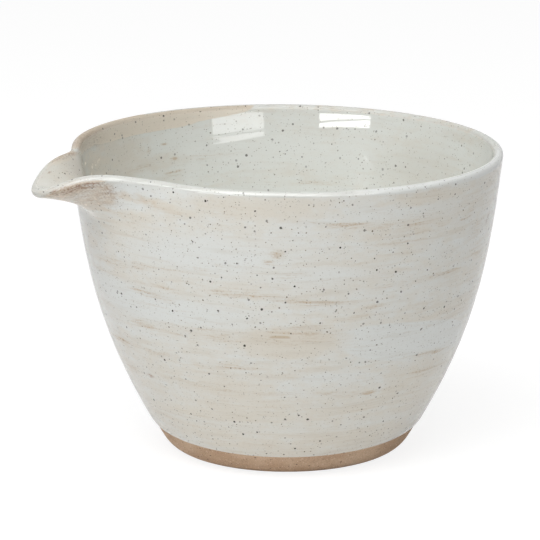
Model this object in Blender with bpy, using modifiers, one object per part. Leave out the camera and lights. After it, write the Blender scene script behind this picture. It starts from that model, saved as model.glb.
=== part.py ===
"""Spouted bowl: a thrown stoneware body with a pulled pouring lip, glazed inside and outside.

The bowl stands on the plane Z = 0 with its axis on Z, and the spout points along -X. Each piece is an
outline turned about the axis, whose wall is then drawn out at the rim the way a potter pulls a spout.
"""

import math

import bmesh
import bpy
import numpy as np

# Sizes of the turned bowl, in metres
RIM_DIAMETER = 0.200
BOWL_HEIGHT = 0.1414
FOOT_DIAMETER = 0.108
FOOT_EASING = 0.008
LOWER_BELLY = 0.059
UPPER_BELLY = 0.0505
LIP_THICKNESS = 0.0044
FOOT_WALL = 0.0072
FLOOR_THICKNESS = 0.008
FLOOR_CURVE_HEIGHT = 0.016
FLOOR_CURVE_WIDTH = 0.030

# Lean of the wall from upright, in degrees
FOOT_LEAN = 31.0
RIM_LEAN = 6.85

# Glaze coats, and the clearance that keeps them off the clay and off each other
GLAZE_THICKNESS = 0.0005
BOND_CLEARANCE = 0.0003
BARE_FOOT_HEIGHT = 0.0105

# The pulled spout: how far it reaches past the rim, droops, and runs down the wall
SPOUT_REACH = 0.0265
SPOUT_DROOP = 0.0082
SPOUT_ROOT_DEPTH = 0.0240
THROAT_PINCH = 0.0015
RIM_RISE = 0.0022

# The spout's spread to each side of its own direction, in degrees
SPOUT_SPREAD = 8.0
DROOP_SPREAD = 5.5
PINCH_ANGLE = 30.5
PINCH_SPREAD = 4.0

# Shape of the pull: how it fades down the wall, narrows to its root, and rounds at the tip
PULL_FADE = 1.75
ROOT_NARROWING = 0.4
DROOP_SHARPNESS = 2.6

# Facets: turning steps, gathered toward the spout, and points along each stretch of the outline,
# crowded toward the table at the foot and toward the lip at the spout
TURN_STEPS = 72
STEP_GATHERING = 0.65
CURVE_SAMPLES = 200
SPOUT_STATIONS = 7
WALL_STATIONS = 5
FOOT_STATIONS = 3
FLOOR_STATIONS = 4
LIP_STATIONS = 4
FOOT_CROWDING = 2.0
SPOUT_CROWDING = 1.5
SHARP_ANGLE = 50.0
MERGE_DISTANCE = 0.00001
SLOPE_STEP = 0.00002

COAT = BOND_CLEARANCE + GLAZE_THICKNESS
LIP_RADIUS = LIP_THICKNESS / 2
CLAY_LIP_RADIUS = LIP_RADIUS - COAT
UPWARD = np.array([math.sin(math.radians(RIM_LEAN)), math.cos(math.radians(RIM_LEAN))])
OUTWARD = np.array([UPWARD[1], -UPWARD[0]])
LIP_CENTRE = np.array([RIM_DIAMETER / 2 - LIP_RADIUS, BOWL_HEIGHT - LIP_RADIUS])

COLLECTION_NAME = "spouted_bowl"


def bezier(corners, count):
    """Points along the Bezier curve, quadratic or cubic, that the corners set out."""
    points = [np.asarray(corner, dtype=float) for corner in corners]
    share = np.linspace(0.0, 1.0, count)[:, None]
    layers = [np.repeat(point[None, :], count, axis=0) for point in points]
    while len(layers) > 1:
        layers = [low * (1 - share) + high * share for low, high in zip(layers, layers[1:])]
    return layers[0]


def outer_curve():
    """The clay's outer curve from the edge of its flat base up to the lip, finely sampled."""
    lean = math.radians(FOOT_LEAN)
    along_wall = np.array([math.sin(lean), math.cos(lean)])
    corner = np.array([FOOT_DIAMETER / 2, 0.0])
    flat_edge = corner - [FOOT_EASING, 0.0]
    wall_start = corner + FOOT_EASING * along_wall
    wall_end = LIP_CENTRE + CLAY_LIP_RADIUS * OUTWARD
    easing = bezier([flat_edge, corner, wall_start], CURVE_SAMPLES)
    wall = bezier(
        [
            wall_start,
            wall_start + LOWER_BELLY * along_wall,
            wall_end - UPPER_BELLY * UPWARD,
            wall_end,
        ],
        CURVE_SAMPLES,
    )
    return np.vstack([easing, wall[1:]])


def station_heights(top):
    """Heights of the outline's points from the table to the lip, close together where the spout bends."""
    easing_top = FOOT_EASING * math.cos(math.radians(FOOT_LEAN))
    root = top - SPOUT_ROOT_DEPTH
    foot = [easing_top * (step / FOOT_STATIONS) ** FOOT_CROWDING for step in range(FOOT_STATIONS + 1)]
    wall = np.linspace(BARE_FOOT_HEIGHT, root, WALL_STATIONS + 1)
    shares = [(step / SPOUT_STATIONS) ** SPOUT_CROWDING for step in range(SPOUT_STATIONS)]
    spout = [top - SPOUT_ROOT_DEPTH * share for share in shares]
    return sorted({*foot, *wall, *spout})


def normals(path):
    """Unit normals of a path, pointing to the left of its direction of travel."""
    along = np.gradient(path, axis=0)
    along /= np.linalg.norm(along, axis=1)[:, None]
    return np.column_stack([-along[:, 1], along[:, 0]])


def outer_wall():
    """Points of the clay's outer side from the base's edge up to the lip."""
    curve = outer_curve()
    heights = np.array(station_heights(curve[-1, 1]))
    return np.column_stack([np.interp(heights, curve[:, 1], curve[:, 0]), heights])


def inner_wall():
    """Points of the clay's inner side from the floor's edge up to the lip."""
    curve = outer_curve()
    outside = outer_wall()
    inward = np.column_stack(
        [np.interp(outside[:, 1], curve[:, 1], normals(curve)[:, axis]) for axis in range(2)]
    )
    share = outside[:, 1] / outside[-1, 1]
    thickness = FOOT_WALL + (2 * CLAY_LIP_RADIUS - FOOT_WALL) * share
    inside = outside + thickness[:, None] * inward
    inside = inside[inside[:, 1] > FLOOR_THICKNESS + FLOOR_CURVE_HEIGHT]
    lowest, above = inside[0], inside[1]
    slope = (above[0] - lowest[0]) / (above[1] - lowest[1])
    corner = np.array([lowest[0] - slope * (lowest[1] - FLOOR_THICKNESS), FLOOR_THICKNESS])
    floor_edge = corner - [FLOOR_CURVE_WIDTH, 0.0]
    return np.vstack([bezier([floor_edge, corner, lowest], FLOOR_STATIONS + 1), inside[1:]])


def lip():
    """Points over the clay's round lip, from the inner side to the outer, without its two ends."""
    turns = [math.pi * (1 - step / LIP_STATIONS) for step in range(1, LIP_STATIONS)]
    return np.array(
        [
            LIP_CENTRE + CLAY_LIP_RADIUS * (math.cos(turn) * OUTWARD + math.sin(turn) * UPWARD)
            for turn in turns
        ]
    )


def offset(path, distance):
    """The path moved to its left by a distance, as a coat of that depth would lie on it."""
    return path + distance * normals(path)


def trimmed_end(path, length):
    """The path with its last point drawn back by a length."""
    back = path[-2] - path[-1]
    shorter = path.copy()
    shorter[-1] += back * (length / np.linalg.norm(back))
    return shorter


def spout_wall(turn, depth):
    """A point on the middle of the pulled wall: turn from the spout, and depth down from the lip."""
    fade = max(0.0, 1.0 - depth / SPOUT_ROOT_DEPTH)
    pull = fade**PULL_FADE
    width = 1.0 - ROOT_NARROWING * (1.0 - fade)
    degrees = abs(math.degrees(turn))
    reach = math.exp(-0.5 * (degrees / (SPOUT_SPREAD * width)) ** 2)
    droop = math.exp(-0.5 * (degrees / (DROOP_SPREAD * width)) ** DROOP_SHARPNESS)
    pinch = math.exp(-0.5 * ((degrees - PINCH_ANGLE * width) / PINCH_SPREAD) ** 2)
    radius, height = LIP_CENTRE - depth * UPWARD
    radius += pull * (SPOUT_REACH * reach - THROAT_PINCH * pinch)
    height -= pull * SPOUT_DROOP * droop
    return np.array([-radius * math.cos(turn), -radius * math.sin(turn), height])


def pulled(radius, turn, height):
    """Where a point of the turned bowl lies once the spout is pulled and the rim has risen toward it."""
    across, along = np.array([radius, height]) - LIP_CENTRE
    depth = -(across * UPWARD[0] + along * UPWARD[1])
    stand_off = across * OUTWARD[0] + along * OUTWARD[1]
    point = np.array([-radius * math.cos(turn), -radius * math.sin(turn), height])
    if depth < SPOUT_ROOT_DEPTH:
        on_wall = max(depth, 0.0)
        foot_point = spout_wall(turn, on_wall)
        downward = spout_wall(turn, on_wall + SLOPE_STEP) - foot_point
        downward /= np.linalg.norm(downward)
        turn_step = SLOPE_STEP / radius
        around = spout_wall(turn + turn_step, on_wall) - spout_wall(turn - turn_step, on_wall)
        facing = np.cross(downward, around)
        facing /= np.linalg.norm(facing)
        point = foot_point + min(depth, 0.0) * downward + stand_off * facing
    share = max(0.0, point[2] / BOWL_HEIGHT)
    point[2] += RIM_RISE * share**2 * (1 + math.cos(turn)) / 2
    return point


def turned_mesh(name, outline, closed):
    """A mesh of the outline turned about the axis by a Screw modifier."""
    count = len(outline)
    edges = [(index, index + 1) for index in range(count - 1)]
    if closed:
        edges.append((count - 1, 0))
    profile = bpy.data.meshes.new(name + "_profile")
    profile.from_pydata([(radius, 0.0, height) for radius, height in outline], edges, [])
    lathe = bpy.data.objects.new(name + "_lathe", profile)
    bpy.context.scene.collection.objects.link(lathe)
    screw = lathe.modifiers.new("turn", "SCREW")
    screw.axis = "Z"
    screw.steps = TURN_STEPS
    screw.render_steps = TURN_STEPS
    screw.use_merge_vertices = True
    screw.merge_threshold = MERGE_DISTANCE
    depsgraph = bpy.context.evaluated_depsgraph_get()
    mesh = bpy.data.meshes.new_from_object(lathe.evaluated_get(depsgraph))
    mesh.name = name
    bpy.data.objects.remove(lathe)
    bpy.data.meshes.remove(profile)
    return mesh


def pull_spout(mesh):
    """Draws the spout out of a turned mesh, with its turning steps gathered toward the spout."""
    for vertex in mesh.vertices:
        radius = math.hypot(vertex.co.x, vertex.co.y)
        if radius < MERGE_DISTANCE:
            continue
        turn = math.atan2(-vertex.co.y, -vertex.co.x)
        turn -= STEP_GATHERING * math.sin(turn)
        vertex.co = pulled(radius, turn, vertex.co.z)


def finish(color, roughness, name):
    """A plain material with the piece's colour and gloss."""
    material = bpy.data.materials.new(name)
    material.use_nodes = True
    shader = material.node_tree.nodes["Principled BSDF"]
    shader.inputs["Base Color"].default_value = (*color, 1.0)
    shader.inputs["Roughness"].default_value = roughness
    shader.inputs["Metallic"].default_value = 0.0
    return material


def add_piece(name, outline, closed, material, collection, origin):
    """Turns an outline, pulls the spout out of it and adds it to the bowl as a named piece."""
    mesh = turned_mesh(name, outline, closed)
    pull_spout(mesh)
    shape = bmesh.new()
    shape.from_mesh(mesh)
    bmesh.ops.recalc_face_normals(shape, faces=shape.faces)
    bmesh.ops.triangulate(shape, faces=shape.faces, quad_method="SHORT_EDGE")
    shape.to_mesh(mesh)
    shape.free()
    mesh.shade_smooth()
    mesh.set_sharp_from_angle(angle=math.radians(SHARP_ANGLE))
    mesh.materials.clear()
    mesh.materials.append(material)
    piece = bpy.data.objects.new(name, mesh)
    piece.parent = origin
    collection.objects.link(piece)


def clay_outline():
    """The clay in section: floor, inner wall, lip, outer wall and base, from the axis to the axis."""
    inside = inner_wall()
    return np.vstack([[0.0, inside[0, 1]], inside, lip(), outer_wall()[::-1], [0.0, 0.0]])


def outer_glaze_outline():
    """The outside coat in section, from the lip's inner edge down to the bare foot, as a closed loop."""
    outside = outer_wall()
    covered = outside[outside[:, 1] >= BARE_FOOT_HEIGHT]
    path = np.vstack([inner_wall()[-1], lip(), covered[::-1]])
    return np.vstack([offset(path, COAT), offset(path, BOND_CLEARANCE)[::-1]])


def liner_glaze_outline():
    """The inside coat in section, from the axis up to the outside coat's edge and back to the axis."""
    inside = inner_wall()
    path = trimmed_end(np.vstack([[0.0, inside[0, 1]], inside]), BOND_CLEARANCE)
    return np.vstack([offset(path, COAT), offset(path, BOND_CLEARANCE)[::-1]])


def main():
    """Builds the bowl in an empty scene."""
    for thing in list(bpy.data.objects):
        bpy.data.objects.remove(thing)
    collection = bpy.data.collections.new(COLLECTION_NAME)
    bpy.context.scene.collection.children.link(collection)
    origin = bpy.data.objects.new("bowl_origin", None)
    collection.objects.link(origin)

    clay = finish((0.36, 0.24, 0.16), 0.85, "bare_stoneware")
    outside = finish((0.66, 0.65, 0.61), 0.2, "outer_glaze")
    liner = finish((0.64, 0.64, 0.60), 0.18, "liner_glaze")
    add_piece("clay_body", clay_outline(), False, clay, collection, origin)
    add_piece("outer_glaze", outer_glaze_outline(), True, outside, collection, origin)
    add_piece("liner_glaze", liner_glaze_outline(), False, liner, collection, origin)


main()
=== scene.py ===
"""Looks of the spouted bowl: fine meshes of its clay and glaze, their finishes, and a plain white studio.

The bowl stands on Z = 0 with its axis on Z and its spout along -X, in metres. Places on its wall are given as
a turn from the spout, in degrees and growing toward -Y, and a height above the table.
"""

from __future__ import annotations

import logging
import math
import random
from dataclasses import dataclass
from enum import Enum

import bmesh
import bpy
import numpy as np
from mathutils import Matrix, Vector

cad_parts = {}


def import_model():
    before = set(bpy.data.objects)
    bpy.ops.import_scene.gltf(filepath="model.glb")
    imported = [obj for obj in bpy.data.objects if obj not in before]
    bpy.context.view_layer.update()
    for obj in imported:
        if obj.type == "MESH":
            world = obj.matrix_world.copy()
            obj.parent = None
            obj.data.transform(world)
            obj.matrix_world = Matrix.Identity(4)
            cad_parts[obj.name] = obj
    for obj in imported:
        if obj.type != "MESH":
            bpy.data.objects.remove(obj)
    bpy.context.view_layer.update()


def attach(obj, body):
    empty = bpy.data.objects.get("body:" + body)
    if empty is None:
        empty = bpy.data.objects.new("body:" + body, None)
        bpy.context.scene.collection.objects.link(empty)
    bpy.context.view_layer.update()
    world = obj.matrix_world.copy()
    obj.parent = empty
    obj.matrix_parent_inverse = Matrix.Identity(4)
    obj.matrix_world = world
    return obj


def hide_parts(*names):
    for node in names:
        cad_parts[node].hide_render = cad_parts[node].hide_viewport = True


LOG = logging.getLogger("spouted_bowl")

BODY = "root"
PER_METRE = 1000.0
FULL_TURN = 360.0
HALF_TURN = FULL_TURN / 2
# Names of the places that are marked on a coat's points, in millimetres
ALONG_WALL = "along_wall"
THROWN_HEIGHT = "thrown_height"
# Way along the outside coat at which the lip starts to turn outward, in millimetres
LIP_TURNS = 1.5

Socket = bpy.types.NodeSocket
Level = float | Socket
Marks = dict[str, np.ndarray]


class Slot(Enum):
    """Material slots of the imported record."""

    CLAY = "bare_stoneware"
    OUTER = "outer_glaze"
    LINER = "liner_glaze"


class StrokeKind(Enum):
    """What a stroke leaves on the wall: slip, ground, tan and iron from the brush, and painted shade."""

    SLIP = "white slip laid on thick"
    GROUND = "thin slip that lets the beige ground through"
    WASH = "an even wash of tan"
    TAN = "dragged lines of tan"
    RUST = "scratched iron wash"
    # Painted shade, laid thin and even in grey beige where the wall should look darker
    PAINTED_SHADE = "a thin even veil of grey beige"


@dataclass(frozen=True)
class Stroke:
    """One stroke of the brush, or a patch of painted shade, placed on the wall.

    Attributes:
        kind: What the stroke leaves.
        turn: Turn of its middle from the spout, in degrees.
        height: Height of its middle above the table, in millimetres.
        reach: Half its length, in degrees.
        breadth: Half its breadth, in millimetres.
        strength: How much of the wall's colour it takes over.
        tilt: Rise along the stroke, in millimetres for each degree.
        softness: Share of its half size over which its edge fades.
        bluntness: How square its ends are: 1 for an oval, 2 for a bar with rounded corners.
    """

    kind: StrokeKind
    turn: float
    height: float
    reach: float
    breadth: float
    strength: float = 1.0
    tilt: float = 0.0
    softness: float = 0.5
    bluntness: float = 1.0

    def amount(self, turns: np.ndarray, heights: np.ndarray) -> np.ndarray:
        """Works out how much the stroke lays on the wall.

        Args:
            turns: Turns from the spout, in degrees.
            heights: Heights above the table, in millimetres.

        Returns:
            The amount at each place, from 0 to 1.
        """
        along = signed(turns - self.turn)
        across = heights - self.height - self.tilt * along
        corner = 2 * self.bluntness
        far = np.abs(along / self.reach) ** corner + np.abs(across / self.breadth) ** corner
        return self.strength * smooth_step(1.0 - far ** (1 / corner), -self.softness, self.softness)


Strokes = tuple[Stroke, ...]


def laid_strokes(strokes: Strokes, turns: np.ndarray, heights: np.ndarray) -> Marks:
    """Works out how much the strokes of each kind lay on the wall.

    Args:
        strokes: The strokes.
        turns: Turns from the spout, in degrees.
        heights: Heights above the table, in millimetres.

    Returns:
        The amount of each kind at each place, from 0 to 1, by the kind's name.
    """
    laid = {kind.name: np.zeros(heights.shape) for kind in StrokeKind}
    for stroke in strokes:
        np.maximum(laid[stroke.kind.name], stroke.amount(turns, heights), out=laid[stroke.kind.name])
    return laid


def linear(hex_colour: str) -> tuple[float, float, float, float]:
    """Turns a colour as a screen shows it into the renderer's linear values.

    Args:
        hex_colour: Red, green and blue as six hexadecimal digits.

    Returns:
        Linear red, green and blue, with full opacity.
    """
    screen = np.array([int(hex_colour[start : start + 2], 16) for start in (0, 2, 4)]) / 255.0
    light = np.where(screen <= 0.04045, screen / 12.92, ((screen + 0.055) / 1.055) ** 2.4)
    return (*(float(value) for value in light), 1.0)


def grey(lightness: float) -> tuple[float, float, float, float]:
    """Gives a grey of a linear lightness, with full opacity."""
    return (lightness, lightness, lightness, 1.0)


def signed(turns: np.ndarray) -> np.ndarray:
    """Brings turns in degrees between half a turn back and half a turn on."""
    return (turns + HALF_TURN) % FULL_TURN - HALF_TURN


def smooth_step(values: np.ndarray, low: float, high: float) -> np.ndarray:
    """Eases values from 0 at low to 1 at high.

    Args:
        values: The values to ease.
        low: Where the result starts to rise.
        high: Where the result reaches 1.

    Returns:
        The eased values.
    """
    share = np.clip((values - low) / (high - low), 0.0, 1.0)
    return share * share * (3.0 - 2.0 * share)


def bezier(corners: list[np.ndarray], count: int) -> np.ndarray:
    """Samples a Bezier curve.

    Args:
        corners: Three or four corners that set out the curve.
        count: Number of points.

    Returns:
        Points along the curve, one to a row.
    """
    share = np.linspace(0.0, 1.0, count)[:, None]
    layers = [np.repeat(np.asarray(corner, dtype=float)[None, :], count, axis=0) for corner in corners]
    while len(layers) > 1:
        layers = [low * (1 - share) + high * share for low, high in zip(layers, layers[1:])]
    return layers[0]


def lengths_along(path: np.ndarray) -> np.ndarray:
    """Measures the way along a path to each of its points."""
    steps = np.linalg.norm(np.diff(path, axis=0), axis=1)
    return np.concatenate([[0.0], np.cumsum(steps)])


def path_normals(path: np.ndarray) -> np.ndarray:
    """Finds the unit normals on the left of a path's direction of travel.

    Args:
        path: Points of the path, one to a row.

    Returns:
        One normal to each point.
    """
    along = np.gradient(path, axis=0)
    along /= np.linalg.norm(along, axis=1)[:, None]
    return np.column_stack([-along[:, 1], along[:, 0]])


def around_axis(radius: np.ndarray, turn: np.ndarray, height: np.ndarray) -> np.ndarray:
    """Sets points around the bowl's axis, by their turns from the spout in radians."""
    return np.stack([-radius * np.cos(turn), -radius * np.sin(turn), height], axis=-1)


def placed(name: str, data: bpy.types.ID) -> bpy.types.Object:
    """Makes an object and puts it in the scene.

    Args:
        name: Name of the object.
        data: Its mesh, lamp or camera.

    Returns:
        The new object.
    """
    made = bpy.data.objects.new(name, data)
    bpy.context.scene.collection.objects.link(made)
    return made


@dataclass(frozen=True)
class ThrownForm:
    """The thrown and pulled form that the clay and both coats of glaze share, in metres and degrees.

    Attributes:
        rim_diameter: Diameter over the glaze at the lip.
        bowl_height: Height of the thrown bowl, before the rim rises to the spout.
        foot_diameter: Diameter of the foot where wall and table would meet in a corner.
        foot_easing: Length over which that corner is eased.
        lower_belly: Length of the wall curve's handle at the foot, along the lean there.
        upper_belly: Length of the wall curve's handle at the rim, along the lean there.
        lip_thickness: Thickness over the glaze at the lip.
        foot_wall: Thickness of the clay at the foot.
        floor_thickness: Thickness of the clay's floor.
        floor_curve_height: Height above the floor at which its curve has become wall.
        floor_curve_width: Length of the curve along the floor.
        foot_lean: Lean of the wall at the foot.
        rim_lean: Lean of the wall at the rim.
        coat: Depth of the glaze over the clay.
        bare_foot_height: Height of the bare clay at the foot.
        spout_reach: How far the spout is pulled out.
        spout_droop: How far its tip is pulled down.
        spout_root_depth: How far down the wall the pull reaches.
        throat_pinch: How far the wall is pinched in on the near side.
        rim_rise: How far the rim rises from the back to the spout.
        spout_spread: Spread of the pull around the rim.
        droop_spread: Spread of the droop around the rim.
        pinch_angle: Turn of the pinch on the near side.
        pinch_spread: Spread of the pinch on the near side.
        far_pinch: How far the wall is pinched in on the far side.
        far_pinch_angle: Turn of the pinch on the far side.
        far_fold_spread: Spread of the far pinch toward the spout, where it folds sharply.
        far_wall_spread: Spread of the far pinch along the wall.
        pull_fade: Power by which the pull fades down the wall.
        root_narrowing: Share by which the spout narrows down to its root.
        droop_sharpness: Power that shapes the droop.
        turn_steps: Number of steps around the bowl.
        step_gathering: How much those steps are gathered toward the spout.
        wall_steps: Steps up the plain wall.
        spout_steps: Steps up the pulled wall.
        foot_steps: Steps up the bare foot.
        floor_steps: Steps along the floor, and as many around its curve.
        lip_steps: Steps over the lip.
        crowding: Power that crowds the steps toward foot and lip.
        curve_samples: Points on each curve from which the outline is read.
        slope_step: Distance over which the pulled wall's slope is measured.
    """

    rim_diameter: float = 0.200
    bowl_height: float = 0.1414
    foot_diameter: float = 0.108
    foot_easing: float = 0.008
    lower_belly: float = 0.059
    upper_belly: float = 0.0505
    lip_thickness: float = 0.0044
    foot_wall: float = 0.0072
    floor_thickness: float = 0.008
    floor_curve_height: float = 0.022
    floor_curve_width: float = 0.030
    foot_lean: float = 31.0
    rim_lean: float = 6.85
    coat: float = 0.0008
    bare_foot_height: float = 0.0105
    spout_reach: float = 0.0265
    spout_droop: float = 0.0082
    spout_root_depth: float = 0.0240
    throat_pinch: float = 0.0015
    rim_rise: float = 0.0022
    spout_spread: float = 8.0
    droop_spread: float = 5.5
    pinch_angle: float = 30.5
    pinch_spread: float = 4.0
    far_pinch: float = 0.0013
    far_pinch_angle: float = 16.8
    far_fold_spread: float = 1.7
    far_wall_spread: float = 9.0
    pull_fade: float = 1.88
    root_narrowing: float = 0.4
    droop_sharpness: float = 2.6
    turn_steps: int = 540
    step_gathering: float = 0.5
    wall_steps: int = 120
    spout_steps: int = 72
    foot_steps: int = 12
    floor_steps: int = 24
    lip_steps: int = 36
    crowding: float = 1.5
    curve_samples: int = 600
    slope_step: float = 0.00002

    @property
    def lip_radius(self) -> float:
        """Radius of the clay's round lip, under its glaze."""
        return self.lip_thickness / 2 - self.coat

    @property
    def upward(self) -> np.ndarray:
        """Direction of the straight wall at the rim, in section."""
        return np.array([math.sin(math.radians(self.rim_lean)), math.cos(math.radians(self.rim_lean))])

    @property
    def outward(self) -> np.ndarray:
        """Direction out of the wall at the rim, in section."""
        return np.array([self.upward[1], -self.upward[0]])

    @property
    def lip_centre(self) -> np.ndarray:
        """Middle of the round lip, in section."""
        return np.array([self.rim_diameter, 2 * self.bowl_height]) / 2 - self.lip_thickness / 2

    def outer_curve(self) -> np.ndarray:
        """Samples the clay's outer side in section, from the edge of the flat base up to the lip.

        Returns:
            Radius and height of each point.
        """
        lean = math.radians(self.foot_lean)
        along_wall = np.array([math.sin(lean), math.cos(lean)])
        corner = np.array([self.foot_diameter / 2, 0.0])
        start = corner + self.foot_easing * along_wall
        end = self.lip_centre + self.lip_radius * self.outward
        easing = bezier([corner - [self.foot_easing, 0.0], corner, start], self.curve_samples)
        belly = [start, start + self.lower_belly * along_wall, end - self.upper_belly * self.upward, end]
        return np.vstack([easing, bezier(belly, self.curve_samples)[1:]])

    def station_heights(self) -> np.ndarray:
        """Gives the heights of the outline's points, close together at the foot and toward the lip.

        Returns:
            The heights, from the table up.
        """
        top = self.outer_curve()[-1, 1]
        foot = np.linspace(0.0, 1.0, self.foot_steps, endpoint=False) ** self.crowding * self.bare_foot_height
        root = top - self.spout_root_depth
        wall = np.linspace(self.bare_foot_height, root, self.wall_steps, endpoint=False)
        spout = top - self.spout_root_depth * np.linspace(1.0, 0.0, self.spout_steps + 1) ** self.crowding
        return np.concatenate([foot, wall, spout])

    def outer_wall(self) -> np.ndarray:
        """Lays out the clay's outer side in section, from the table up to the lip.

        Returns:
            Radius and height of each point.
        """
        curve = self.outer_curve()
        heights = self.station_heights()
        return np.column_stack([np.interp(heights, curve[:, 1], curve[:, 0]), heights])

    def inner_wall(self) -> np.ndarray:
        """Lays out the clay's inner side in section, from the axis over the floor and up to the lip.

        Returns:
            Radius and height of each point.
        """
        curve = self.outer_curve()
        facing = path_normals(curve)
        outside = self.outer_wall()
        inward = np.column_stack([np.interp(outside[:, 1], curve[:, 1], facing[:, axis]) for axis in (0, 1)])
        share = outside[:, 1] / outside[-1, 1]
        thickness = self.foot_wall + (2 * self.lip_radius - self.foot_wall) * share
        inside = outside + thickness[:, None] * inward
        inside = inside[inside[:, 1] > self.floor_thickness + self.floor_curve_height]
        lowest, above = inside[0], inside[1]
        slope = (above[0] - lowest[0]) / (above[1] - lowest[1])
        corner = np.array([lowest[0] - slope * (lowest[1] - self.floor_thickness), self.floor_thickness])
        floor_edge = corner - [self.floor_curve_width, 0.0]
        flat = np.linspace([0.0, self.floor_thickness], floor_edge, self.floor_steps, endpoint=False)
        return np.vstack([flat, bezier([floor_edge, corner, lowest], self.floor_steps), inside[1:]])

    def lip(self) -> np.ndarray:
        """Lays out the round lip in section, from its inner side to its outer, without its two ends.

        Returns:
            Radius and height of each point.
        """
        turns = np.linspace(math.pi, 0.0, self.lip_steps + 1)[1:-1, None]
        facing = np.cos(turns) * self.outward + np.sin(turns) * self.upward
        return self.lip_centre + self.lip_radius * facing

    def outline(self) -> np.ndarray:
        """Lays out the clay's section, from the middle of the floor over the lip and down to the table."""
        return np.vstack([self.inner_wall(), self.lip(), self.outer_wall()[::-1]])

    def turns(self) -> np.ndarray:
        """Gives the turning steps of one full turn in degrees, gathered toward the spout."""
        even = np.linspace(0.0, 2 * math.pi, self.turn_steps, endpoint=False)
        return np.degrees(even - self.step_gathering * np.sin(even))

    def spout_wall(self, turn: np.ndarray, depth: np.ndarray) -> np.ndarray:
        """Finds points on the middle of the pulled wall.

        Args:
            turn: Turns from the spout, in radians.
            depth: Depths below the lip along the wall.

        Returns:
            Points, with the coordinates along the last axis.
        """
        fade = np.clip(1.0 - depth / self.spout_root_depth, 0.0, None)
        pull = fade**self.pull_fade
        width = 1.0 - self.root_narrowing * (1.0 - fade)
        side = signed(np.degrees(turn))
        degrees = np.abs(side)
        far = side < 0.0
        reach = np.exp(-0.5 * (degrees / (self.spout_spread * width)) ** 2)
        droop = np.exp(-0.5 * (degrees / (self.droop_spread * width)) ** self.droop_sharpness)
        past = degrees - np.where(far, self.far_pinch_angle, self.pinch_angle) * width
        far_spread = np.where(past < 0.0, self.far_fold_spread, self.far_wall_spread)
        pinch = np.exp(-0.5 * (past / np.where(far, far_spread, self.pinch_spread)) ** 2)
        pinch = np.where(far, self.far_pinch, self.throat_pinch) * pinch
        radius = self.lip_centre[0] - depth * self.upward[0]
        height = self.lip_centre[1] - depth * self.upward[1]
        radius = radius + pull * (self.spout_reach * reach - pinch)
        height = height - pull * self.spout_droop * droop
        return around_axis(radius, turn, height)

    def pulled(self, section: np.ndarray, turns: np.ndarray) -> np.ndarray:
        """Draws the spout out of a thrown wall and lets the rim rise toward it.

        Args:
            section: Radius and height of each point, by turn and by place along the outline.
            turns: The turn of each row, in degrees.

        Returns:
            The points in space, by turn and by place along the outline.
        """
        radius, height = section[..., 0], section[..., 1]
        turn = np.broadcast_to(np.radians(turns)[:, None], radius.shape)
        across, along = radius - self.lip_centre[0], height - self.lip_centre[1]
        depth = -(across * self.upward[0] + along * self.upward[1])
        stand_off = across * self.outward[0] + along * self.outward[1]
        thrown = around_axis(radius, turn, height)

        on_wall = np.maximum(depth, 0.0)
        foot_point = self.spout_wall(turn, on_wall)
        downward = self.spout_wall(turn, on_wall + self.slope_step) - foot_point
        downward /= np.linalg.norm(downward, axis=-1, keepdims=True)
        turn_step = self.slope_step / self.lip_centre[0]
        around = self.spout_wall(turn + turn_step, on_wall) - self.spout_wall(turn - turn_step, on_wall)
        facing = np.cross(downward, around)
        facing /= np.linalg.norm(facing, axis=-1, keepdims=True)
        drawn = foot_point + np.minimum(depth, 0.0)[..., None] * downward + stand_off[..., None] * facing

        points = np.where((depth < self.spout_root_depth)[..., None], drawn, thrown)
        share = np.maximum(points[..., 2] / self.bowl_height, 0.0)
        points[..., 2] += self.rim_rise * share**2 * (1 + np.cos(turn)) / 2
        return points


@dataclass(frozen=True)
class Grain:
    """Noise of one scale, which is about 0.5 on average.

    Attributes:
        around: Grains to a millimetre around the bowl.
        up: Grains to a millimetre up the wall.
        detail: Number of finer layers.
        roughness: Weight of each finer layer.
    """

    around: float
    up: float
    detail: float = 2.0
    roughness: float = 0.5


@dataclass(frozen=True)
class Ramp:
    """A smooth change from one result to another.

    Attributes:
        low: Value at which the result is start.
        high: Value at which the result is end.
        start: First result.
        end: Last result.
    """

    low: float
    high: float
    start: float = 0.0
    end: float = 1.0


@dataclass(frozen=True)
class Brush:
    """How a brush breaks up what it lays.

    Attributes:
        spread: How much its bristles shake the amount laid.
        edge: Half the step over which a mark's edge fades.
    """

    spread: float
    edge: float


@dataclass(frozen=True)
class SpeckSize:
    """Specks of one size.

    Attributes:
        spacing: Spacing of the specks, in millimetres.
        smallest: Radius of the smallest, in millimetres.
        largest: Radius of the largest, in millimetres.
        faintest: Strength of the faintest.
        strongest: Strength of the strongest.
        colour: Their colour.
        faint_share: Share of them that is as faint as the faintest.
    """

    spacing: float
    smallest: float
    largest: float
    faintest: float
    strongest: float
    colour: str
    faint_share: float = 0.1


# Mean level of noise, and how many times broader a line is than its full core
MIDDLE = 0.5
LINE_SHARPNESS = 8
# How a speck fades at its edge, over shares of its radius
SPECK_EDGE = Ramp(1.0, 0.70)
SPECK_SIZES = (
    SpeckSize(1.20, 0.12, 0.33, 0.14, 0.86, "756A55"),
    SpeckSize(2.70, 0.18, 0.46, 0.30, 1.00, "5E5442"),
    SpeckSize(4.50, 0.34, 0.74, 0.60, 1.00, "332F27"),
)


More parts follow.
